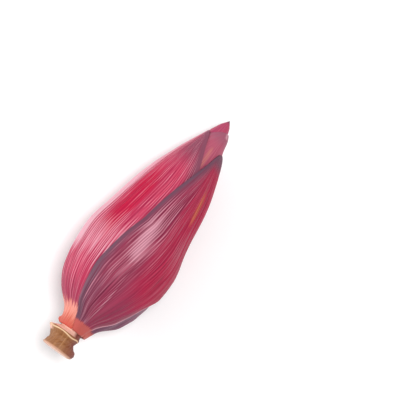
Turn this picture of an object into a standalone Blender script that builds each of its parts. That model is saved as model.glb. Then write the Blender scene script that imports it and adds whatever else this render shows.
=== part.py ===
"""Banana blossom: the closed male bud of a banana plant, cut from its stalk and laid on its side.

The stalk end is at -X and the pointed tip at +X. The bud lies on a small flat spot on its belly.
Thick bracts wrap a core of younger bracts, one over the other, like the leaves of a tight cabbage.
"""

from math import cos, degrees, pi, radians, sin, sqrt

import bmesh
import bpy
from mathutils import Matrix, Vector

# Driving sizes, in metres. Stations run along the bud from the cut end of the stalk.
LENGTH = 0.240
WIDEST = 0.0432
FLATTEN = 0.95
GAP = 0.00035
BRACT = 0.0020
BRACT_AT_TIP = 0.0010
MARGIN = 0.0008
RIB = 0.00035
PITCH_DOWN = radians(5.5)
FLAT_DEPTH = 0.0018
SAG = 0.0010
NECK = 0.0205
HIP = 0.105
FINE_STEP = 0.006
BODY_STEP = 0.012

# The bud's outline with its outer bracts on: (station as a share of the length, radius as a share of the widest).
OUTLINE = (
    (0.080, 0.290),
    (0.130, 0.385),
    (0.190, 0.690),
    (0.245, 0.865),
    (0.310, 0.960),
    (0.420, 1.000),
    (0.530, 0.898),
    (0.690, 0.714),
    (0.800, 0.525),
    (0.900, 0.300),
    (0.955, 0.172),
    (1.000, 0.012),
)


def smooth(start, end, value):
    """0 before start, 1 after end, and an S curve between them."""
    t = min(max((value - start) / (end - start), 0.0), 1.0)
    return t * t * (3 - 2 * t)


def through(points, value):
    """A monotone cubic through (place, height) points."""
    xs = [place for place, _ in points]
    ys = [height for _, height in points]
    if value <= xs[0]:
        return ys[0]
    if value >= xs[-1]:
        return ys[-1]
    steps = [(ys[i + 1] - ys[i]) / (xs[i + 1] - xs[i]) for i in range(len(xs) - 1)]
    slopes = [steps[0]]
    for before, after in zip(steps, steps[1:]):
        slopes.append(0.0 if before * after <= 0 else 2 * before * after / (before + after))
    slopes.append(steps[-1])
    i = max(k for k in range(len(xs) - 1) if xs[k] <= value)
    span = xs[i + 1] - xs[i]
    t = (value - xs[i]) / span
    start = (1 + 2 * t) * (1 - t) ** 2 * ys[i] + t * (1 - t) ** 2 * span * slopes[i]
    end = t * t * (3 - 2 * t) * ys[i + 1] + t * t * (t - 1) * span * slopes[i + 1]
    return start + end


def skin(x):
    """Radius of the bud at station x."""
    return WIDEST * through(OUTLINE, x / LENGTH)


def thick(x):
    """Thickness of a bract along its middle at station x."""
    return BRACT + (BRACT_AT_TIP - BRACT) * smooth(0.50 * LENGTH, 0.85 * LENGTH, x)


def layer(x):
    """How much deeper the next bract down lies: a bract, its ribs and a gap."""
    return thick(x) + RIB + GAP


def centre(x):
    """Where the bud's bent axis runs at station x: a little to +Y in the middle."""
    bow = 0.0016 * sin(pi * min(max(x / LENGTH, 0.0), 1.0))
    stalk = 0.0020 * (1 - smooth(0.010, 0.040, x))
    return Vector((x, bow + stalk, 0.0))


def around(x, angle, radius):
    """A point at station x. Angle 0 is up and +90 degrees is +Y."""
    return centre(x) + Vector((0.0, radius * sin(angle), FLATTEN * radius * cos(angle)))


def stations(base, tip, split=1):
    """Where every layer has its rows, so that neighbours keep their gap: close at the hip and the tip.

    Past the hip, where the bud is straighter, the long steps may be split into this many.
    """
    shared = [NECK]
    while shared[-1] < LENGTH:
        bends = shared[-1] < NECK + 4.5 * FINE_STEP or shared[-1] > 0.80 * LENGTH
        step = FINE_STEP if bends else BODY_STEP
        parts = split if shared[-1] > HIP - 2 * BODY_STEP and not bends else 1
        shared += [shared[-1] + step * (k + 1) / parts for k in range(parts)]
    rows = [x for x in shared if base - 1e-6 < x < tip - 0.0065]
    return rows + [tip - 0.0045, tip - 0.0012, tip]


def material(name, colour, roughness):
    made = bpy.data.materials.new(name)
    made.use_nodes = True
    shader = made.node_tree.nodes["Principled BSDF"]
    shader.inputs["Base Color"].default_value = (*colour, 1.0)
    shader.inputs["Roughness"].default_value = roughness
    shader.inputs["Metallic"].default_value = 0.0
    return made


def add_object(name, bm, finish):
    bmesh.ops.recalc_face_normals(bm, faces=bm.faces)
    mesh = bpy.data.meshes.new(name)
    bm.to_mesh(mesh)
    bm.free()
    mesh.shade_smooth()
    mesh.set_sharp_from_angle(angle=radians(50))
    mesh.materials.append(finish)
    placed = bpy.data.objects.new(name, mesh)
    bpy.context.scene.collection.objects.link(placed)
    return placed


class Outline:
    """A bract's edge: the angles of its two margins, in degrees, through (station, angle) points.

    right is the margin at the lower angle. Past the station closes, the bract draws in to its round
    tip as half an ellipse, which ends at tip_angle.
    """

    def __init__(self, base, closes, tip, tip_angle, right, left):
        self.base = base
        self.closes = closes
        self.tip = tip
        self.tip_angle = tip_angle
        self.right = right
        self.left = left

    def margin(self, side, x):
        closing = min(max((x - self.closes) / (self.tip - self.closes), 0.0), 1.0)
        return self.tip_angle + (through(side, x) - self.tip_angle) * sqrt(1 - closing**2)

    def angle(self, x, u):
        """Angle in radians at station x for u from -1, the right margin, to +1, the left one."""
        right = self.margin(self.right, x)
        left = self.margin(self.left, x)
        return radians(right + (left - right) * (u + 1) / 2)


LEFT = Outline(
    base=NECK,
    closes=0.160,
    tip=0.2225,
    tip_angle=62,
    right=((0.0205, 3), (0.040, -8), (0.075, -12), (0.160, -24)),
    left=((0.0205, 124), (0.060, 134), (0.105, 143), (0.160, 147)),
)
RIGHT = Outline(
    base=NECK,
    closes=0.105,
    tip=0.2105,
    tip_angle=-60,
    right=((0.0205, -62), (0.032, -62), (0.040, -64), (0.056, -68), (0.067, -75), (0.090, -104), (0.120, -131)),
    left=((0.0205, -2), (0.031, 13), (0.045, 20.5), (0.073, 20.5), (0.090, 17), (0.125, 8)),
)
UNDER = Outline(
    base=NECK,
    closes=0.105,
    tip=0.190,
    tip_angle=180,
    right=((0.0205, 128), (0.032, 126), (0.060, 116), (0.105, 100)),
    left=((0.0205, 290), (0.032, 303), (0.047, 322), (0.070, 318), (0.105, 275)),
)
INNER = Outline(
    base=NECK + 5 * FINE_STEP,
    closes=0.185,
    tip=0.229,
    tip_angle=-60,
    right=((0.0505, -180), (0.185, -220)),
    left=((0.0505, 60), (0.185, 108)),
)


def blade(name, outline, inner, finish, columns, ribs=True, split=1):
    """A bract: a curved sheet that thins to its margins, with ribs along its outer face."""
    bm = bmesh.new()
    outer_rows = []
    inner_rows = []
    for x in stations(outline.base, outline.tip, split):
        near_tip = smooth(0.0, 0.020, outline.tip - x)
        past_base = smooth(0.0, 0.015, x - outline.base)
        outer_row = []
        inner_row = []
        for j in range(columns + 1):
            u = 2 * j / columns - 1
            angle = outline.angle(x, u)
            radius = inner(x, angle)
            body = 1 - abs(u) ** 6
            depth = MARGIN + (thick(x) - MARGIN) * body * near_tip
            if ribs and j % 2 == 1:
                depth += RIB * smooth(0.0, 0.2, 1 - abs(u)) * near_tip * past_base
            inner_row.append(bm.verts.new(around(x, angle, radius)))
            outer_row.append(bm.verts.new(around(x, angle, radius + depth)))
            if x == outline.tip:
                break
        inner_rows.append(inner_row)
        outer_rows.append(outer_row)
    for side, flip in ((outer_rows, False), (inner_rows, True)):
        for low, high in zip(side, side[1:]):
            for j in range(columns):
                if len(high) == 1:
                    corners = [low[j], low[j + 1], high[0]]
                    bm.faces.new(corners[::-1] if flip else corners)
                    continue
                if j < columns / 2:
                    corners = ([low[j], low[j + 1], high[j + 1]], [low[j], high[j + 1], high[j]])
                else:
                    corners = ([low[j], low[j + 1], high[j]], [low[j + 1], high[j + 1], high[j]])
                for three in corners:
                    bm.faces.new(three[::-1] if flip else three)
    tip_in, tip_out = inner_rows[-1][0], outer_rows[-1][0]
    rim_in = [row[0] for row in inner_rows[:-1]] + [tip_in] + [row[-1] for row in inner_rows[-2::-1]]
    rim_out = [row[0] for row in outer_rows[:-1]] + [tip_out] + [row[-1] for row in outer_rows[-2::-1]]
    rim_in += inner_rows[0][-2:0:-1]
    rim_out += outer_rows[0][-2:0:-1]
    for k in range(len(rim_in)):
        n = (k + 1) % len(rim_in)
        bm.faces.new([rim_in[k], rim_in[n], rim_out[n]])
        bm.faces.new([rim_in[k], rim_out[n], rim_out[k]])
    return add_object(name, bm, finish)


def turned(name, stations, radius, finish, sides):
    """A solid with the given radius at each station and angle, closed by a flat face at either end."""
    bm = bmesh.new()
    rings = []
    for x in stations:
        angles = [2 * pi * k / sides for k in range(sides)]
        rings.append([bm.verts.new(around(x, angle, radius(x, angle))) for angle in angles])
    for low, high in zip(rings, rings[1:]):
        for k in range(sides):
            n = (k + 1) % sides
            bm.faces.new([low[k], low[n], high[n], high[k]])
    bm.faces.new(rings[0])
    bm.faces.new(rings[-1])
    return add_object(name, bm, finish)


def peduncle():
    """The cut stalk: a flared cut end, a waist, the scar ring of fallen bracts, and the seat of the bracts."""
    # (station, radius, how far this ring leans to +Y)
    profile = (
        (0.0000, 0.0128, 0.0016),
        (0.0012, 0.0142, 0.0010),
        (0.0035, 0.0141, 0.0002),
        (0.0062, 0.0134, 0.0000),
        (0.0085, 0.0121, 0.0016),
        (0.0110, 0.0119, 0.0032),
        (0.0135, 0.0136, 0.0042),
        (0.0156, 0.0143, 0.0044),
        (0.0178, 0.0118, 0.0024),
        (0.0200, 0.0098, 0.0005),
        (0.0300, 0.0098, 0.0000),
        (0.0440, 0.0105, 0.0000),
    )
    rings = {x: (radius, lean) for x, radius, lean in profile}

    def radius(x, angle):
        radius, lean = rings[x]
        uneven = 0.045 * cos(2 * angle + 0.7) + 0.030 * cos(3 * angle - 1.1)
        return radius * (1 + uneven * (1 - smooth(0.014, 0.020, x))) + lean * sin(angle)

    brown = material("stalk_skin", (0.42, 0.20, 0.09), 0.6)
    return turned("peduncle", [x for x, _, _ in profile], radius, brown, 32)


def wrapped_depth(x):
    """How far the inner bract's inner face lies below the skin: under three bracts, then under fewer."""
    buried = 2 * layer(x) + thick(x)
    past_under = layer(x) * smooth(0.792 * LENGTH, 0.867 * LENGTH, x)
    past_outer = 0.0018 * smooth(0.883 * LENGTH, 0.950 * LENGTH, x)
    return buried - past_under - past_outer


def bud_core():
    """The packed young bracts: a solid that ends in the bud's sharp tip."""
    start = NECK + 4 * FINE_STEP
    point = [LENGTH * share for share in (0.955, 0.966, 0.977, 0.988, 1.0)]
    rows = [x for x in stations(start, LENGTH) if x < 0.945 * LENGTH] + point

    def radius(x, _angle):
        loose = 0.0010 * (1 - smooth(0.75 * LENGTH, 0.90 * LENGTH, x))
        bared = 1 - smooth(0.950 * LENGTH, 0.982 * LENGTH, x)
        return skin(x) - (wrapped_depth(x) + 1.6 * GAP + loose) * bared

    rose = material("bud_tip", (0.50, 0.10, 0.18), 0.45)
    return turned("bud_core", rows, radius, rose, 32)


def bract_inner():
    """The bract that shows between the outer two at the tip. It wraps most of the core."""

    def inner(x, _angle):
        return skin(x) - wrapped_depth(x)

    finish = material("bract_rose", (0.55, 0.15, 0.20), 0.45)
    return blade("bract_inner", INNER, inner, finish, 32, ribs=False)


def bract_under():
    """The bract below: its margins lie under the left and the right one, and the bud rests on it."""

    def inner(x, angle):
        past_left = smooth(4, 29, degrees(angle) - LEFT.margin(LEFT.left, x))
        past_right = smooth(4, 29, 360 + RIGHT.margin(RIGHT.right, x) - degrees(angle))
        bare = past_left * past_right * (1 - smooth(0.140, 0.180, x))
        depth = layer(x) * smooth(0.022, 0.032, x) * (1 - bare)
        return skin(x) - thick(x) - depth + SAG * bare * smooth(0.090, 0.125, x)

    finish = material("bract_mauve", (0.30, 0.09, 0.14), 0.5)
    return blade("bract_under", UNDER, inner, finish, 36, split=2)


def bract_left():
    """The crimson bract on the +Y side. It reaches nearly to the tip."""

    def inner(x, _angle):
        return skin(x) - thick(x) + 0.0009 * smooth(0.214, 0.2225, x)

    finish = material("bract_crimson", (0.55, 0.08, 0.16), 0.45)
    return blade("bract_left", LEFT, inner, finish, 44)


def bract_right():
    """The outermost bract, on the -Y side. Its left margin lies over the crimson one."""

    def inner(x, angle):
        hidden = LEFT.margin(LEFT.right, x)
        over = smooth(hidden - 42, hidden - 3, degrees(angle))
        return skin(x) - thick(x) + layer(x) * over

    finish = material("bract_plum", (0.40, 0.08, 0.14), 0.45)
    return blade("bract_right", RIGHT, inner, finish, 36)


def lay_down(pieces, rests):
    """Lays the bud on its belly, tip a little down, and flattens it where it rests."""
    turn = Matrix.Rotation(PITCH_DOWN, 4, "Y")
    for piece in pieces:
        piece.data.transform(turn)
    low = min(v.co.z for v in rests.data.vertices) + FLAT_DEPTH
    for v in rests.data.vertices:
        v.co.z = max(v.co.z, low)
    points = [v.co for piece in pieces for v in piece.data.vertices]
    middle = [(min(p[k] for p in points) + max(p[k] for p in points)) / 2 for k in (0, 1)]
    for piece in pieces:
        piece.data.transform(Matrix.Translation((-middle[0], -middle[1], -low)))
        piece.data.update()


for old in list(bpy.data.objects):
    bpy.data.objects.remove(old, do_unlink=True)

under = bract_under()
bud = [peduncle(), bud_core(), bract_inner(), under, bract_left(), bract_right()]
lay_down(bud, under)
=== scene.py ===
"""A banana blossom lying on a pale table: a closed bud of ribbed bracts on its cut stub of stalk."""

from math import cos, pi, radians, sin

import bpy
import numpy as np
from mathutils import Matrix, Vector


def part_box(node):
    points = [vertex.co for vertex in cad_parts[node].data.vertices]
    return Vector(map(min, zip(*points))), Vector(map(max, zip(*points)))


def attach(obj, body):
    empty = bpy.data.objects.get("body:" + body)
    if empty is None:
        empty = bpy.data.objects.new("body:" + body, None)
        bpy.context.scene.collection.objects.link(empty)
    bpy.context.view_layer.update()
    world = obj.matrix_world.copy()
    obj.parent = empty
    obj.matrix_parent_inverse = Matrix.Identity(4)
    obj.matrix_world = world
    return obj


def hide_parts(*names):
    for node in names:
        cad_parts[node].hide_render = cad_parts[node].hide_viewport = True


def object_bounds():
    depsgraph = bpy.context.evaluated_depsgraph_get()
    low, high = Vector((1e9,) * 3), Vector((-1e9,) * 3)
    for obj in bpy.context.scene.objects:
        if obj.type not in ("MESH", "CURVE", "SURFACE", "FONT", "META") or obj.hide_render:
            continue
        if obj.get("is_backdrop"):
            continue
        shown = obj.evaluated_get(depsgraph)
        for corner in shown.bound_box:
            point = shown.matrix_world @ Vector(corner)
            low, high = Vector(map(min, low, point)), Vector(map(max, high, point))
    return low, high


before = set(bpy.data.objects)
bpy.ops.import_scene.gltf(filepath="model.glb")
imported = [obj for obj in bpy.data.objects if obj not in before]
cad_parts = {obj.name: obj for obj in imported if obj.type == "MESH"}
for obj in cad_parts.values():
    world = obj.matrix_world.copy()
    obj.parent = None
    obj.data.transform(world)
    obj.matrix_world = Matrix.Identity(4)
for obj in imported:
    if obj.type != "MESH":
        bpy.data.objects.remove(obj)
cad_low, cad_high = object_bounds()

# ---------------------------------------------------------------- the core
# The youngest bracts, packed hard one round another on the inner end of the stalk. They grew as one
# firm cone, and only its last centimetre shows: the sharp rose-coloured point of the bud.
LENGTH = 0.240
WIDEST = 0.0432
FLATTEN = 0.95
PITCH_DOWN = radians(5.5)
GAP = 0.00035
RIB = 0.00035
BRACT = 0.0020
BRACT_AT_TIP = 0.0010
CORE_START = 0.0445
CORE_ROWS = 150
CORE_SIDES = 160
MM = 1000
# The bud's outline: (station as a share of the length, radius as a share of the widest).
OUTLINE = (
    (0.080, 0.290),
    (0.130, 0.385),
    (0.190, 0.690),
    (0.245, 0.865),
    (0.310, 0.960),
    (0.420, 1.000),
    (0.530, 0.898),
    (0.690, 0.714),
    (0.800, 0.525),
    (0.900, 0.300),
    (0.955, 0.172),
    (1.000, 0.012),
)


def ramp(start, end, value):
    """0 before start, 1 after end, and an S curve between them. It takes numbers or arrays."""
    t = np.clip((np.asarray(value, float) - start) / (np.asarray(end, float) - start), 0.0, 1.0)
    return t * t * (3 - 2 * t)


def stretch(start, full, fading, end, value):
    """A share that rises to 1 between start and full, and falls back to 0 between fading and end."""
    return ramp(start, full, value) * (1 - ramp(fading, end, value))


def bell(middle, width, value):
    """A share that is 1 at the middle and falls away smoothly over about this width each side."""
    return np.exp(-(((value - middle) / width) ** 2))


def through(points, value):
    """A smooth curve through (place, height) points, which never swings past them."""
    xs, ys = np.array(points, float).T
    steps = np.diff(ys) / np.diff(xs)
    before, after = steps[:-1], steps[1:]
    same_way = before * after > 0
    inner = np.where(same_way, 2 * before * after / np.where(same_way, before + after, 1.0), 0.0)
    slopes = np.concatenate([steps[:1], inner, steps[-1:]])
    value = np.clip(value, xs[0], xs[-1])
    i = np.clip(np.searchsorted(xs, value, side="right") - 1, 0, len(xs) - 2)
    span = xs[i + 1] - xs[i]
    t = (value - xs[i]) / span
    start = (1 + 2 * t) * (1 - t) ** 2 * ys[i] + t * (1 - t) ** 2 * span * slopes[i]
    end = t * t * (3 - 2 * t) * ys[i + 1] + t * t * (t - 1) * span * slopes[i + 1]
    return start + end


def wander(seed, fewest, most, value):
    """A smooth random wave from about -1 to 1, with fewest to most swings as value goes from 0 to 1."""
    draw = np.random.default_rng(seed)
    turns = draw.uniform(fewest, most, 12)
    phases = draw.uniform(0, 2 * pi, 12)
    return sum(np.sin(2 * pi * n * value + p) for n, p in zip(turns, phases)) / np.sqrt(6)


def skin(x):
    """Radius of the bud at station x."""
    return WIDEST * through(OUTLINE, x / LENGTH)


def thick(x):
    """Thickness of a bract along its middle at station x."""
    return BRACT - (BRACT - BRACT_AT_TIP) * ramp(0.50 * LENGTH, 0.85 * LENGTH, x)


def layer(x):
    """How much deeper the next bract down lies."""
    return thick(x) + RIB + GAP


def wrapped_depth(x):
    """How far the inner bract's inner face lies below the skin."""
    past_under = layer(x) * ramp(0.792 * LENGTH, 0.867 * LENGTH, x)
    past_outer = 0.0018 * ramp(0.883 * LENGTH, 0.950 * LENGTH, x)
    return 2 * layer(x) + thick(x) - past_under - past_outer


def around(x, angle, radius):
    """Points at station x of the bud, whose axis bows a little to +Y. Angle 0 is up, and 90 is +Y."""
    x, angle, radius = np.broadcast_arrays(x, angle, radius)
    middle = 0.0016 * np.sin(pi * np.clip(x / LENGTH, 0, 1)) + 0.0020 * (1 - ramp(0.010, 0.040, x))
    return np.stack([x, middle + radius * np.sin(angle), FLATTEN * radius * np.cos(angle)], axis=-1)


def core_radius(x):
    loose = 0.0010 * (1 - ramp(0.75 * LENGTH, 0.90 * LENGTH, x))
    bared = 1 - ramp(0.950 * LENGTH, 0.982 * LENGTH, x)
    return skin(x) - (wrapped_depth(x) + 1.6 * GAP + loose) * bared


def tipped(points):
    """The points as the bud lies, with its tip a little down."""
    turn = np.array(Matrix.Rotation(PITCH_DOWN, 3, "Y"))
    return points @ turn.T


def quads(index, joined=False, flip=False):
    """Faces over a grid of vertex numbers. Joined closes each row on itself."""
    if joined:
        index = np.concatenate([index, index[:, :1]], axis=1)
    corners = [index[:-1, :-1], index[:-1, 1:], index[1:, 1:], index[1:, :-1]]
    faces = np.stack(corners[::-1] if flip else corners, axis=-1)
    return faces.reshape(-1, 4).tolist()


def add_piece(name, points, faces, fields):
    """An object of these points, with named vectors on them for its material to read."""
    mesh = bpy.data.meshes.new(name)
    mesh.from_pydata(points.reshape(-1, 3).tolist(), [], faces)
    for field, values in fields.items():
        stored = mesh.attributes.new(field, "FLOAT_VECTOR", "POINT")
        stored.data.foreach_set("vector", np.asarray(values, np.float32).ravel())
    mesh.shade_smooth()
    made = bpy.data.objects.new(name, mesh)
    bpy.context.scene.collection.objects.link(made)
    return made


def linear(code):
    """An sRGB hex colour as the linear values that a shader takes."""
    parts = [int(code[k : k + 2], 16) / 255 for k in (1, 3, 5)]
    return [c / 12.92 if c <= 0.04045 else ((c + 0.055) / 1.055) ** 2.4 for c in parts] + [1.0]


def add(tree, kind, inputs=None, stops=None, **settings):
    """Adds a shader node. Inputs are values or sockets, and stops are a ramp's places and colours."""
    made = tree.nodes.new("ShaderNode" + kind)
    for key, value in settings.items():
        setattr(made, key, value)
    for key, value in (inputs or {}).items():
        if isinstance(value, bpy.types.NodeSocket):
            tree.links.new(value, made.inputs[key])
        else:
            made.inputs[key].default_value = value
    for k, (place, colour) in enumerate(stops or ()):
        stop = made.color_ramp.elements[k] if k < 2 else made.color_ramp.elements.new(place)
        stop.position = place
        stop.color = linear(colour)
    return made


def new_material(name):
    """A material with its tree and its Principled shader."""
    made = bpy.data.materials.new(name)
    made.use_nodes = True
    return made, made.node_tree, made.node_tree.nodes["Principled BSDF"]


def waxed_skin(name, body, deep, flush, bloom, sheen, ember, pale, crest, furrow_shade, seed):
    """Fresh bract skin: leathery, with parallel veins, under a wax that dulls it where it is thick.

    body and deep are the two colours that its broad streaks run between. flush is where the light
    reddened it, ember where it turned orange, and bloom the thick grey wax. The colour of its light white
    streaks is a painted sheen and painted highlight where light catches the skin. pale is how ragged the
    edge of its base is, which the light never reached, and the (place, colour) stops there. crest and
    furrow are the colours that the ribs take on top and between: a painted highlight on their tops and
    painted shade in their grooves.
    """
    made, tree, shader = new_material(name)

    def field(name):
        """One of the vectors stored on the mesh, whole and taken apart."""
        vector = add(tree, "Attribute", attribute_name=name).outputs["Vector"]
        return vector, add(tree, "SeparateXYZ", {"Vector": vector}).outputs

    def streaks(across, along, detail, shift):
        """Noise drawn out along the veins, with this many swings a millimetre across and along them."""
        scale = (across, along, 0.0)
        at = add(tree, "VectorMath", {0: grain, 1: scale}, operation="MULTIPLY").outputs[0]
        inputs = {"Vector": at, "Scale": 1.0, "Detail": detail, "W": seed + shift}
        return add(tree, "TexNoise", inputs, noise_dimensions="4D").outputs["Fac"]

    def spread(value, low, high, bottom, top):
        """The value's place between low and high, as one from bottom to top."""
        inputs = {"Value": value, "From Min": low, "From Max": high, "To Min": bottom, "To Max": top}
        return add(tree, "MapRange", inputs).outputs[0]

    def times(first, second):
        return add(tree, "Math", {0: first, 1: second}, operation="MULTIPLY").outputs[0]

    def frayed(value, noise, strength):
        """The value raised and lowered by a noise, so that a zone of colour frays along the veins."""
        swing = spread(noise, 0.3, 0.7, -strength, strength)
        return add(tree, "Math", {0: value, 1: swing}, operation="ADD").outputs[0]

    def mixed(share, below, above):
        inputs = {"Factor": share, "A": below, "B": above}
        return add(tree, "Mix", inputs, data_type="RGBA").outputs["Result"]

    grain, place = field("grain")
    _, paint = field("paint")
    grey, reddened, base = paint["X"], paint["Y"], paint["Z"]
    _, light = field("light")
    # white is the share of painted sheen and highlight, orange that of ember, and smooth where the ribs
    # fade.
    white, orange, smooth = light["X"], light["Y"], light["Z"]
    # Single veins are 1.5 mm apart and keep their colour for 50 mm, broad streaks are 8 mm apart, and a
    # rib shows plainly for 25 mm or so before it fades again.
    veins = streaks(0.65, 0.020, 2.0, 0.0)
    broad = streaks(0.12, 0.012, 3.0, 5.0)
    plain = streaks(0.30, 0.045, 1.0, 9.0)

    colour = mixed(spread(broad, 0.38, 0.62, 0.0, 1.0), linear(deep), linear(body))
    colour = mixed(spread(frayed(reddened, broad, 0.22), 0.12, 0.85, 0.0, 0.96), colour, linear(flush))
    ribbed = spread(smooth, 1.0, 0.0, 0.0, 1.0)
    # Painted highlights along single veins in the crest colour, and painted shade beside them in the
    # furrow colour.
    colour = mixed(times(ribbed, spread(veins, 0.53, 0.70, 0.0, 0.40)), colour, linear(crest))
    colour = mixed(times(ribbed, spread(veins, 0.47, 0.32, 0.0, 0.50)), colour, linear(furrow_shade))
    waxed = frayed(frayed(grey, broad, 0.15), veins, 0.20)
    colour = mixed(spread(waxed, 0.12, 0.95, 0.0, 0.92), colour, linear(bloom))
    colour = mixed(spread(frayed(orange, veins, 0.32), 0.30, 1.10, 0.0, 0.85), colour, linear(ember))

    # The ribs: painted shade as dark lines between them, and a painted highlight as light ones on top,
    # which the reddest skin hides.
    between = times(spread(place["Z"], 0.22, 0.0, 0.0, 1.0), spread(plain, 0.36, 0.60, 0.0, 0.80))
    colour = mixed(times(ribbed, between), colour, linear(furrow_shade))
    rib_highlight = times(spread(place["Z"], 0.60, 0.95, 0.0, 1.0), spread(plain, 0.42, 0.66, 0.0, 0.75))
    rib_highlight = times(times(ribbed, rib_highlight), spread(reddened, 1.1, 0.3, 0.0, 1.0))
    colour = mixed(rib_highlight, colour, linear(crest))
    # Painted sheen and highlights: white streaks where light catches the waxed skin.
    sheen_share = frayed(frayed(white, veins, 0.24), place["Z"], 0.12)
    colour = mixed(spread(sheen_share, 0.20, 0.95, 0.0, 0.90), colour, linear(sheen))

    raggedness, stops = pale
    ragged = frayed(base, veins, raggedness)
    based = add(tree, "ValToRGB", {"Fac": ragged}, stops=stops).outputs["Color"]
    colour = mixed(spread(ragged, 0.30, 0.36, 0.0, 1.0), colour, based)
    tree.links.new(colour, shader.inputs["Base Color"])
    tree.links.new(spread(veins, 0.3, 0.7, 0.48, 0.34), shader.inputs["Roughness"])
    bump = add(tree, "Bump", {"Height": veins, "Strength": 0.30, "Distance": 0.0004})
    tree.links.new(bump.outputs[0], shader.inputs["Normal"])
    shader.inputs["Specular IOR Level"].default_value = 0.14
    return made


def make_core():
    share = np.linspace(0, 1, CORE_ROWS)
    x = CORE_START + (LENGTH - CORE_START) * (1 - (1 - share) ** 1.3)
    angle = np.linspace(0, 2 * pi, CORE_SIDES, endpoint=False)
    x, angle = np.meshgrid(x, angle, indexing="ij")
    # The outermost young bract ends in a margin that winds round the point, from its far side, and the
    # core fills out beside the crimson bract's tip.
    turned = ((angle - radians(160)) / (2 * pi) - (x - 0.225) / 0.05) % 1.0
    fold = 0.00045 * turned**3 * stretch(0.215, 0.226, 0.236, 0.240, x)
    swell = 0.0009 * stretch(0.219, 0.223, 0.226, 0.237, x) * np.clip(np.sin(angle), 0, 1) ** 2
    points = tipped(around(x, angle, core_radius(x) + fold + swell - 0.0002))
    index = np.arange(x.size).reshape(x.shape)
    faces = quads(index, joined=True, flip=True)
    faces += [index[0].tolist(), index[-1, ::-1].tolist()]
    crest = 0.5 + 0.5 * np.cos(46 * angle)
    grain = np.stack([angle / (2 * pi) * 120, x * MM, crest], axis=-1)
    # Dark along the winding margin and at the very point.
    bloom = np.maximum(ramp(0.86, 0.97, turned), 1.3 * ramp(0.2365, 0.2395, x))
    paint = np.stack([bloom, 0.3 + 0 * x, 0 * x], axis=-1)
    return add_piece("core_point", points, faces, {"grain": grain, "paint": paint, "light": 0 * paint})


core = make_core()
# The bud is worked out from its cut face, so it moves by SHIFT to where the frame holds it.
low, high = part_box("bud_core")
own = np.array([v.co for v in core.data.vertices])
SHIFT = (np.array(low) + np.array(high) - own.min(0) - own.max(0)) / 2
core.data.transform(Matrix.Translation(SHIFT))
core.data.materials.append(
    waxed_skin(
        "young_skin_rose",
        body="#B84868",
        deep="#A83C60",
        flush="#BC4A62",
        bloom="#6E4654",
        sheen="#E0A8B4",
        ember="#C86A50",
        pale=(0.1, ((0.3, "#B84868"), (1.0, "#E08878"))),
        crest="#D07890",
        furrow_shade="#8E3050",
        seed=1.0,
    )
)
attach(core, "root")
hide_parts("bud_core")

# ---------------------------------------------------------------- the inner bract
# A young bract, still pink because the outer ones shaded it. It is a thin waxed sheet rolled nearly all
# the way round the core, and it shows in the cleft between the outer two, with its round tip on top.
NECK = 0.0205
EDGE = 0.0006
BACK_STEP = 6


def margin(bract, side, x):
    """The angle in degrees of a bract's margin on one side, drawn in to a round tip like an ellipse."""
    closing = np.clip((x - bract["closes"]) / (bract["tip"] - bract["closes"]), 0, 1)
    narrow = np.sqrt(1 - closing**2)
    return bract["tip_angle"] + (through(bract[side], x) - bract["tip_angle"]) * narrow


def rim_faces(front, back):
    """The rim of a sheet: faces between the edge of its outer grid and that of its sparser inner one."""
    faces = []
    for turn in range(4):
        front_side = np.rot90(front, turn)[0]
        back_side = np.rot90(back, turn)[0]
        for k in range(len(back_side) - 1):
            steps = front_side[k * BACK_STEP : (k + 1) * BACK_STEP + 1].tolist()
            faces.append(steps + [int(back_side[k + 1]), int(back_side[k])])
    return faces


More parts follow.
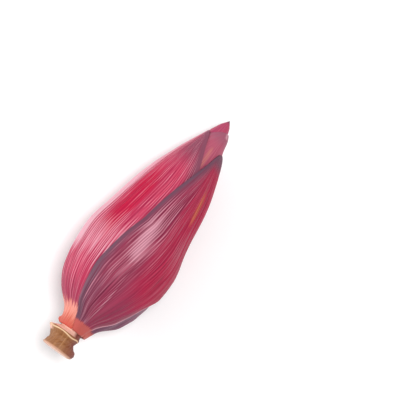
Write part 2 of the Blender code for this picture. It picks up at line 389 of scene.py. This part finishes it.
def make_bract(name, bract, inner, paint, extra=None):
    """A bract: a sheet between its margins, thick along its middle, thin at its edge and ribbed outside.

    inner gives the radius of its inner face, and extra any more relief on its outer one. paint gives
    the shares there of bloom, flush, pale base, painted sheen and highlight, ember and calm, which is
    where the ribs fade. The bract's own table holds its margins, its grid, its relief and the seed of its
    unevenness. Its veins run beside the right margin, or beside "fan" if that is given. The inner face
    has one vertex for every six of the outer one.
    """
    rows = BACK_STEP * bract["rows"] + 1
    columns = BACK_STEP * bract["columns"] + 1
    end = bract["tip"] - 0.00004
    x = bract["base"] + (end - bract["base"]) * (1 - (1 - np.linspace(0, 1, rows)) ** 1.4)
    x, u = np.meshgrid(x, np.linspace(0, 1, columns), indexing="ij")
    right = margin(bract, "right", x)
    left = margin(bract, "left", x)
    angle = right + (left - right) * u
    fan = margin(bract, "fan", x) if "fan" in bract else right
    vein = (angle - fan) / (left - fan)
    radius = inner(x, angle)
    span = radius * np.radians(left - right)
    broadest = (radius * np.radians(left - fan)).max()
    to_margin = np.minimum(np.minimum(u, 1 - u) * span, (bract["tip"] - x) * 1.2)
    depth = EDGE + (thick(x) - EDGE) * ramp(0.0, bract["bevel"], to_margin)
    bloom, flush, pale, sheen, ember, calm = paint(x, angle, vein, to_margin)

    # Fine ribs, one to each main vein and a little uneven.
    ribs, seed = bract["ribs"], bract["seed"]
    uneven = vein + 0.16 / ribs * wander(seed, 2, ribs / 4, vein)
    crest = (0.5 + 0.5 * np.cos(2 * pi * ribs * uneven)) ** 1.4
    tall = 0.80 + 0.30 * wander(seed + 1, 5, ribs / 3, vein)
    tall = tall + 0.15 * wander(seed + 2, 2, 6, x / LENGTH + 0.4 * vein)
    relief = bract["rib_height"] * crest * np.clip(tall, 0.15, 1.5) * (1 - 0.6 * calm)
    # They lie over a few broad pleats, and near the base, where the sheet is gathered in, on deep folds.
    pleats = bract["pleat_height"] * wander(seed + 4, 2.0, 7.5, vein + 0.04 * np.sin(3 * pi * x / LENGTH))
    gathered = ramp(0.004, 0.018, x - bract["base"]) * (1 - ramp(0.040, 0.085, x))
    folds = gathered * wander(seed + 5, *bract["folds"], vein)
    pleats += bract["gather"] * folds
    clear = ramp(0.0006, 0.005, to_margin) * ramp(0.0, 0.016, x - bract["base"])
    room = np.minimum(span / broadest * 1.4, 1.0)
    relief = (relief + np.clip(pleats, -0.35 * thick(x), 0.0012)) * clear * room
    if extra:
        relief = relief + extra(x, angle, to_margin)
    outer = tipped(around(x, np.radians(angle), radius + depth + relief)) + SHIFT
    back = tipped(around(x, np.radians(angle), radius))[::BACK_STEP, ::BACK_STEP] + SHIFT

    front_index = np.arange(x.size).reshape(x.shape)
    back_index = x.size + np.arange(back.size // 3).reshape(back.shape[:2])
    faces = quads(front_index, flip=True) + quads(back_index) + rim_faces(front_index, back_index)
    # tone is how high a point stands on its ribs and base folds, which places the painted highlights and
    # painted shade of the skin.
    tone = np.clip(crest * clear + 0.40 * (1 - clear) + 0.30 * folds, 0, 1)
    fields = {
        "grain": (vein * broadest * MM, x * MM, tone),
        "paint": (bloom, flush, pale),
        "light": (sheen, ember, calm),
    }
    for field, parts in fields.items():
        values = np.stack(np.broadcast_arrays(*parts, 0 * x)[:3], axis=-1)
        behind = values[::BACK_STEP, ::BACK_STEP]
        fields[field] = np.concatenate([values.reshape(-1, 3), behind.reshape(-1, 3)])
    points = np.concatenate([outer.reshape(-1, 3), back.reshape(-1, 3)])
    made = add_piece(name, points, faces, fields)
    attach(made, "root")
    return made


def pale_base(end, x):
    """How pale a bract's base is: 0.3 at its end, and more towards the stalk."""
    return np.clip((end - x) / 0.025 + 0.3, 0, 1)


INNER = {
    "base": 0.0505,
    "closes": 0.185,
    "tip": 0.229,
    "tip_angle": -60,
    "right": ((0.0505, -180), (0.185, -220)),
    "left": ((0.0505, 60), (0.185, 108)),
    "rows": 36,
    "columns": 26,
    "ribs": 44,
    "rib_height": 0.00008,
    "pleat_height": 0.0001,
    "gather": 0.0,
    "folds": (4, 8),
    "bevel": 0.006,
    "seed": 11,
}


def inner_inner(x, _angle):
    return skin(x) - wrapped_depth(x)


def inner_paint(x, angle, _vein, to_margin):
    """Mauve along its margin and at its round top, and an orange stripe where it lay in the cleft."""
    stripe = 0.75 * bell(-14, 8, angle) * stretch(0.184, 0.194, 0.206, 0.216, x)
    bloom = np.maximum(0.8 * (1 - ramp(0.0, 0.0035, to_margin)), 0.6 * ramp(0.209, 0.224, x))
    glint = 0.8 * bell(-52, 12, angle) * ramp(0.2225, 0.2255, x)
    return bloom, 0.4, 0, glint, stripe, 0.3


inner_bract = make_bract("inner_bract_sheet", INNER, inner_inner, inner_paint)
inner_bract.data.materials.append(
    waxed_skin(
        "young_skin_pink",
        body="#BC6076",
        deep="#AE4E68",
        flush="#BC6074",
        bloom="#8A5A6E",
        sheen="#E0A8B4",
        ember="#CC8070",
        pale=(0.1, ((0.3, "#B85A72"), (1.0, "#E08878"))),
        crest="#C87A88",
        furrow_shade="#A04A60",
        seed=2.0,
    )
)
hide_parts("bract_inner")

# ---------------------------------------------------------------- the bract below
# A full-grown bract under the bud, which lies on it. Both its margins are tucked under its neighbours,
# and it swells out between them. Its wax has worn to a dull mauve, and its belly is pressed flat. The
# margins of those neighbours are given here too, because its shape follows them.
SAG = 0.0010
UNDER = {
    "base": NECK,
    "closes": 0.105,
    "tip": 0.190,
    "tip_angle": 180,
    "right": ((0.0205, 128), (0.032, 126), (0.060, 116), (0.105, 100)),
    "left": ((0.0205, 290), (0.032, 303), (0.047, 322), (0.070, 318), (0.105, 275)),
    "rows": 26,
    "columns": 52,
    "ribs": 46,
    "rib_height": 0.00024,
    "pleat_height": 0.0002,
    "gather": 0.0003,
    "folds": (8, 14),
    "bevel": 0.009,
    "seed": 21,
}
LEFT = {
    "base": NECK,
    "closes": 0.160,
    "tip": 0.2225,
    "tip_angle": 62,
    "right": ((0.0205, 3), (0.040, -8), (0.075, -12), (0.160, -24)),
    "left": ((0.0205, 124), (0.060, 134), (0.105, 143), (0.160, 147)),
    "rows": 32,
    "columns": 76,
    "ribs": 52,
    "rib_height": 0.00030,
    "pleat_height": 0.00032,
    "gather": 0.0007,
    "folds": (14, 21),
    "bevel": 0.009,
    "seed": 31,
}
RIGHT = {
    "base": NECK,
    "closes": 0.105,
    "tip": 0.2105,
    "tip_angle": -60,
    "right": (
        (0.0205, -62),
        (0.032, -62),
        (0.040, -64),
        (0.056, -68),
        (0.067, -75),
        (0.090, -104),
        (0.120, -131),
    ),
    "left": ((0.0205, -2), (0.031, 13), (0.045, 20.5), (0.073, 20.5), (0.090, 17), (0.125, 8)),
    "fan": ((0.0205, -70), (0.045, -92), (0.080, -120), (0.120, -131)),
    "rows": 34,
    "columns": 66,
    "ribs": 50,
    "rib_height": 0.00028,
    "pleat_height": 0.00028,
    "gather": 0.0004,
    "folds": (8, 14),
    "bevel": 0.0045,
    "seed": 41,
}


def hollow(x, angle):
    """How much the bud is drawn in on its right side, where fewer young bracts fill it out."""
    from_side = (angle + 90 + 180) % 360 - 180
    low = 0.0020 * stretch(0.040, 0.054, 0.062, 0.084, x)
    return (low + 0.0019 * bell(0.132, 0.024, x)) * bell(0, 38, from_side)


def under_inner(x, angle):
    """Just below the skin where it is bare, and a layer deeper under its neighbours' margins."""
    past_left = ramp(4, 29, angle - margin(LEFT, "left", x))
    slower = 16 * stretch(0.050, 0.066, 0.085, 0.105, x)
    past_right = ramp(4, 29 + slower, 360 + margin(RIGHT, "right", x) - angle)
    bare = past_left * past_right * (1 - ramp(0.140, 0.180, x))
    depth = layer(x) * ramp(0.022, 0.032, x) * (1 - bare)
    return skin(x) - thick(x) - depth - hollow(x, angle) + SAG * bare * ramp(0.090, 0.125, x)


def under_paint(x, angle, _vein, _to_margin):
    """Grey with wax all over, more so towards the right side, and coral only close to its base."""
    bloom = 0.35 + 0.60 * ramp(240, 290, angle) + 0.2 * ramp(0.15, 0.19, x)
    # Painted sheen, lighter towards its outline on the right.
    sheen = 0.30 * ramp(245, 268, angle) * ramp(0.035, 0.060, x)
    return bloom, 0.15, pale_base(0.0290, x), sheen, 0, 0.3


under = make_bract("under_bract_sheet", UNDER, under_inner, under_paint)
for v in under.data.vertices:
    v.co.z = max(v.co.z, 0.0)
under.data.materials.append(
    waxed_skin(
        "worn_skin_mauve",
        body="#8C3A56",
        deep="#74304A",
        flush="#A03C58",
        bloom="#785064",
        sheen="#B08A9A",
        ember="#A05040",
        pale=(0.06, ((0.30, "#A04A50"), (0.40, "#C0625A"), (1.0, "#C86A5C"))),
        crest="#9E6478",
        furrow_shade="#5E2A40",
        seed=3.0,
    )
)
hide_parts("bract_under")

# ---------------------------------------------------------------- the left bract
# The crimson bract. It grew from the left of the ring with a salmon base, its ribs stand out as fine
# pleats, and its right margin runs under the outermost bract and comes out again near the tip.


def left_inner(x, _angle):
    return skin(x) - thick(x) + 0.0003 * ramp(0.214, 0.2225, x)


def left_paint(x, angle, vein, to_margin):
    """Reddest along the middle, grey by the right margin and the tip, and a painted sheen on its flank.
    """
    by_margin = 1 - ramp(0.002, 0.014, np.where(vein < 0.5, to_margin, 1.0))
    topped = 0.9 * ramp(0.172, 0.204, x) * (1 - ramp(30, 80, angle))
    collar = 0.40 * (1 - ramp(0.046, 0.066, x))
    bloom = np.maximum(np.maximum(by_margin * ramp(0.145, 0.180, x), topped), collar)
    flush = stretch(0.085, 0.112, 0.145, 0.180, x) * bell(37, 15, angle) + 0.20 * ramp(0.11, 0.15, x)
    # Painted sheen on the left flank, and painted highlights along the ribs low down.
    flank_sheen = ramp(47, 76, angle) * (1 - 0.9 * ramp(96, 122, angle)) * ramp(0.062, 0.090, x)
    low = 0.42 * stretch(0.060, 0.090, 0.100, 0.130, x)
    return bloom, flush, pale_base(0.0385, x), np.maximum(flank_sheen, low), 0, 0


def left_scar(x, angle, _to_margin):
    """The torn lump of an older bract's base beside its own."""
    return 0.0022 * bell(0.0228, 0.0020, x) * bell(86, 11, angle)


left_bract = make_bract("left_bract_sheet", LEFT, left_inner, left_paint, left_scar)
left_bract.data.materials.append(
    waxed_skin(
        "bract_skin_crimson",
        body="#C84866",
        deep="#B83456",
        flush="#BE0E3C",
        bloom="#804A5E",
        sheen="#EAB4C2",
        ember="#C86A50",
        pale=(
            0.22,
            (
                (0.30, "#E88878"),
                (0.42, "#F4A496"),
                (0.62, "#E89080"),
                (0.80, "#D06856"),
                (1.0, "#CC5C50"),
            ),
        ),
        crest="#EC9CAE",
        furrow_shade="#8E1A40",
        seed=4.0,
    )
)
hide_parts("bract_left")

# ---------------------------------------------------------------- the right bract
# The outermost bract. Its left margin lies over the crimson one, grey with wax where it stood open to
# the sun. Its middle is rose with painted highlights on top, its right side a warmer red, and a crease
# runs up from its base.


def right_inner(x, angle):
    """On the core's skin, and a layer higher where it laps over the left bract."""
    hidden = margin(LEFT, "right", x)
    over = ramp(hidden - 42, hidden - 3, angle)
    return skin(x) - thick(x) + layer(x) * over - hollow(x, angle)


def from_crease(x, angle):
    """How far a point of the bract lies from the line of its crease."""
    return np.radians(angle + 15) * skin(x)


def right_paint(x, angle, _vein, to_margin):
    """Grey by the left margin and at the tip, painted highlights on top, and red towards the right side.
    """
    band = 0.0095 + 0.0070 * (1 - ramp(0.070, 0.110, x))
    by_left = 1 - ramp(-0.001, band, np.where(angle > margin(RIGHT, "left", x) - 40, to_margin, 1.0))
    low = 0.55 * (1 - ramp(0.055, 0.085, x)) * ramp(-25, 10, angle)
    bloom = np.maximum(np.maximum(by_left, low), 0.9 * ramp(0.190, 0.206, x))
    flush = ramp(-8, -50, angle) * ramp(0.045, 0.085, x) * (1 - bloom)
    # Painted highlights: glints along the ribs on top, a light line on the crease, and one on the
    # turned-up right margin.
    top = 0.50 * bell(-8, 8, angle) * stretch(0.082, 0.098, 0.118, 0.144, x)
    top = top + 0.32 * bell(-14, 15, angle) * stretch(0.080, 0.110, 0.140, 0.172, x)
    fold = 0.5 * bell(0, 0.0009, from_crease(x, angle)) * (1 - ramp(0.055, 0.090, x))
    edge = 0.9 * (1 - ramp(0.0006, 0.0020, to_margin)) * ramp(-20, -45, angle)
    edge = edge * (1 - ramp(0.070, 0.085, x))
    sheen = np.maximum(top, np.maximum(fold, edge))
    ember = bell(-50, 5, angle) * stretch(0.134, 0.154, 0.165, 0.186, x)
    calm = 0.9 * (1 - ramp(0.055, 0.095, x)) * ramp(-5, -25, angle)
    return bloom, flush, pale_base(0.0306, x), sheen, ember, calm


def right_crease(x, angle, to_margin):
    """A raised crease from the base, and the right margin turned up a little."""
    crease = 0.0006 * bell(0, 0.0012, from_crease(x, angle)) * (1 - ramp(0.060, 0.095, x))
    turned_up = 0.0005 * (1 - ramp(0.0, 0.0025, to_margin)) * ramp(-20, -45, angle)
    return (crease + turned_up) * ramp(0.026, 0.034, x)


right_bract = make_bract("right_bract_sheet", RIGHT, right_inner, right_paint, right_crease)
right_bract.data.materials.append(
    waxed_skin(
        "bract_skin_plum",
        body="#A03C58",
        deep="#8A2E4A",
        flush="#B01E44",
        bloom="#66485A",
        sheen="#DCA0B0",
        ember="#C86A44",
        pale=(0.04, ((0.30, "#B04C4A"), (0.36, "#BE5A56"), (0.7, "#C05A50"), (1.0, "#C06050"))),
        crest="#CE8698",
        furrow_shade="#641A34",
        seed=5.0,
    )
)
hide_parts("bract_right")

# ---------------------------------------------------------------- the stub of the stalk
# The fibrous stalk that carried the bud, cut through with a knife. It flares at the cut, narrows to a
# waist, and ends in the torn ring where older bracts fell away. Its tan skin has dried a little.
STALK_ROWS = 150
STALK_SIDES = 180
STALK_END = 0.0440
CUT_ROWS = 12
# (station, radius) and (station, how far the ring there leans to +Y).
STALK = (
    (0.0000, 0.0128),
    (0.0010, 0.0142),
    (0.0035, 0.0141),
    (0.0062, 0.0134),
    (0.0085, 0.0121),
    (0.0110, 0.0119),
    (0.0135, 0.0136),
    (0.0156, 0.0143),
    (0.0178, 0.0118),
    (0.0200, 0.0098),
    (0.0440, 0.0105),
)
LEAN = (
    (0.0000, 0.0016),
    (0.0035, 0.0002),
    (0.0062, 0.0000),
    (0.0085, 0.0016),
    (0.0110, 0.0032),
    (0.0156, 0.0044),
    (0.0178, 0.0024),
    (0.0200, 0.0005),
    (0.0300, 0.0000),
)


def make_stalk():
    x = np.concatenate([np.zeros(CUT_ROWS), np.linspace(0, 0.021, STALK_ROWS), [STALK_END]])
    angle = np.linspace(0, 2 * pi, STALK_SIDES, endpoint=False)
    x, angle = np.meshgrid(x, angle, indexing="ij")
    lobes = 0.045 * np.cos(2 * angle + 0.7) + 0.030 * np.cos(3 * angle - 1.1)
    radius = through(STALK, x) * (1 + lobes * (1 - ramp(0.014, 0.020, x)))
    radius = radius + through(LEAN, x) * np.sin(angle)
    # Dried wrinkles down the waist, and tatters round the torn ring.
    wrinkles = 0.00012 * np.sin(angle * 46 + 2.0 * np.sin(3 * angle))
    wrinkles = wrinkles + 0.00015 * np.sin(angle * 23 + 2000 * x)
    radius = radius + wrinkles * stretch(0.001, 0.004, 0.012, 0.014, x)
    tatters = np.abs(np.sin(angle * 17 + 3 * np.sin(5 * angle)))
    radius = radius + 0.00045 * tatters * stretch(0.0135, 0.0150, 0.0165, 0.018, x)
    # The cut face: rings of points that close in on the middle.
    share = np.ones_like(radius)
    share[:CUT_ROWS] = np.linspace(0.02, 0.985, CUT_ROWS)[:, None]
    points = tipped(around(x, angle, radius * share)) + SHIFT
    index = np.arange(x.size).reshape(x.shape)
    faces = quads(index, joined=True, flip=True)
    faces += [index[0].tolist(), index[-1, ::-1].tolist()]
    grain = np.stack([angle / (2 * pi) * 80, x * MM, share], axis=-1)
    # Pink torn flesh on the left of the ring, a cream lip over the rest, and painted shade on the right
    # side and where the stalk runs in under the bracts.
    by_left = bell(radians(100), 0.75, angle)
    above = 0.8 * ramp(0.0160, 0.0172, x) * ramp(-1.0, 0.0, np.sin(angle))
    torn = np.maximum(by_left * ramp(0.0108, 0.0128, x), above)
    lip = bell(0.0152, 0.0007, x - 0.0005 * np.sin(5 * angle))
    shaded = np.maximum(0, -np.sin(angle)) * (1 - by_left)
    paint = np.stack([torn, lip, np.maximum(shaded, ramp(0.0160, 0.0180, x))], axis=-1)
    return add_piece("stalk_stub", points, faces, {"grain": grain, "paint": paint})


def cut_stalk():
    """Cut stalk: a dull olive-tan skin with a few fibres, and pale wet flesh at the cut and the ring."""
    made, tree, shader = new_material("cut_stalk")
    grain = add(tree, "Attribute", attribute_name="grain").outputs["Vector"]
    paint = add(tree, "Attribute", attribute_name="paint").outputs["Vector"]
    place = add(tree, "SeparateXYZ", {"Vector": grain}).outputs
    share = add(tree, "SeparateXYZ", {"Vector": paint}).outputs

    def mixed(value, low, high, below, above):
        """The colour above where the value is nearer high, and below where it is nearer low."""
        factor = add(tree, "MapRange", {"Value": value, "From Min": low, "From Max": high}).outputs[0]
        inputs = {"Factor": factor, "A": below, "B": above}
        return add(tree, "Mix", inputs, data_type="RGBA").outputs["Result"]

    # Fibres run along the stalk, about 2 mm apart and 17 mm long.
    scale = (0.45, 0.06, 0.0)
    at = add(tree, "VectorMath", {0: grain, 1: scale}, operation="MULTIPLY").outputs[0]
    fibres = add(tree, "TexNoise", {"Vector": at, "Scale": 1.0, "Detail": 3.0}).outputs["Fac"]
    tans = ((0.28, "#82502A"), (0.45, "#945E34"), (0.60, "#A26C40"), (0.80, "#BE8A60"))
    colour = add(tree, "ValToRGB", {"Fac": fibres}, stops=tans).outputs["Color"]
    # Painted shade in dark red-brown, on the right side and under the bracts.
    colour = mixed(share["Z"], 0.15, 0.95, colour, linear("#803C30"))
    colour = mixed(share["X"], 0.25, 0.60, colour, linear("#FCC8B4"))
    colour = mixed(share["Y"], 0.30, 0.90, colour, linear("#ECC49C"))
    # The knife left a paler rim in the last 2 mm, and wet flesh on the cut face itself.
    colour = mixed(place["Y"], 2.0, 0.4, colour, linear("#E2AC90"))
    pith = add(tree, "TexNoise", {"Vector": grain, "Scale": 0.9, "Detail": 3.0}).outputs["Fac"]
    wet = ((0.3, "#F6BCA4"), (0.7, "#FFD8C4"))
    flesh = add(tree, "ValToRGB", {"Fac": pith}, stops=wet).outputs["Color"]
    colour = mixed(place["Y"], 0.12, 0.04, colour, flesh)
    tree.links.new(colour, shader.inputs["Base Color"])
    shader.inputs["Roughness"].default_value = 0.55
    bump = add(tree, "Bump", {"Height": fibres, "Strength": 0.35, "Distance": 0.0005})
    tree.links.new(bump.outputs[0], shader.inputs["Normal"])
    return made


stalk = make_stalk()
stalk.data.materials.append(cut_stalk())
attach(stalk, "root")
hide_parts("peduncle")

# ---------------------------------------------------------------- the table, the light and the camera
# A white table that glows faintly, under soft studio light. The camera looks down on the bud through a
# long lens, a little from the stalk's end.
AZIMUTH = radians(-54.2)
ELEVATION = radians(84.0)
DISTANCE = 1.30
FRAME_WIDTH = 0.330
AIM_RIGHT = 0.0466
AIM_UP = 0.0281
TABLE_REACH = 3.0

mesh = bpy.data.meshes.new("table")
corners = [(TABLE_REACH * x, TABLE_REACH * y, 0) for x, y in ((-1, -1), (1, -1), (1, 1), (-1, 1))]
mesh.from_pydata(corners, [], [(0, 1, 2, 3)])
table = bpy.data.objects.new("table", mesh)
bpy.context.scene.collection.objects.link(table)
white, tree, shader = new_material("white_table")
shader.inputs["Base Color"].default_value = linear("#F8F8F8")
shader.inputs["Emission Color"].default_value = linear("#FFFFFF")
shader.inputs["Emission Strength"].default_value = 0.10
shader.inputs["Roughness"].default_value = 0.8
mesh.materials.append(white)
table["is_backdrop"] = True

world = bpy.data.worlds.new("studio")
bpy.context.scene.world = world
world.use_nodes = True
world.node_tree.nodes["Background"].inputs["Color"].default_value = (1.0, 1.0, 1.0, 1.0)
world.node_tree.nodes["Background"].inputs["Strength"].default_value = 0.50


def soft_light(name, size, power, place):
    """A square soft box that faces the bud."""
    data = bpy.data.lights.new(name, "AREA")
    data.size = size
    data.energy = power
    lamp = bpy.data.objects.new(name, data)
    lamp.location = place
    lamp.rotation_mode = "QUATERNION"
    lamp.rotation_quaternion = (-Vector(place)).to_track_quat("-Z", "Y")
    bpy.context.scene.collection.objects.link(lamp)


soft_light("top", 0.35, 9.0, (0.10, -0.22, 1.25))
soft_light("side", 0.8, 6.0, (-0.25, 1.10, 0.55))

view_right = Vector((cos(AZIMUTH), sin(AZIMUTH), 0.0))
view_back = Vector((sin(AZIMUTH) * cos(ELEVATION), -cos(AZIMUTH) * cos(ELEVATION), sin(ELEVATION)))
view_up = view_back.cross(view_right)
cad_middle = (cad_low + cad_high) / 2
aim = cad_middle + view_right * AIM_RIGHT + view_up * AIM_UP
camera_data = bpy.data.cameras.new("camera")
camera_data.sensor_width = 36.0
camera_data.lens = 36.0 * DISTANCE / FRAME_WIDTH
camera = bpy.data.objects.new("camera", camera_data)
camera.location = aim + view_back * DISTANCE
camera.rotation_euler = Matrix((view_right, view_up, view_back)).transposed().to_euler()
bpy.context.scene.collection.objects.link(camera)
bpy.context.scene.camera = camera
bpy.context.scene.view_settings.view_transform = "Standard"

low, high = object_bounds()
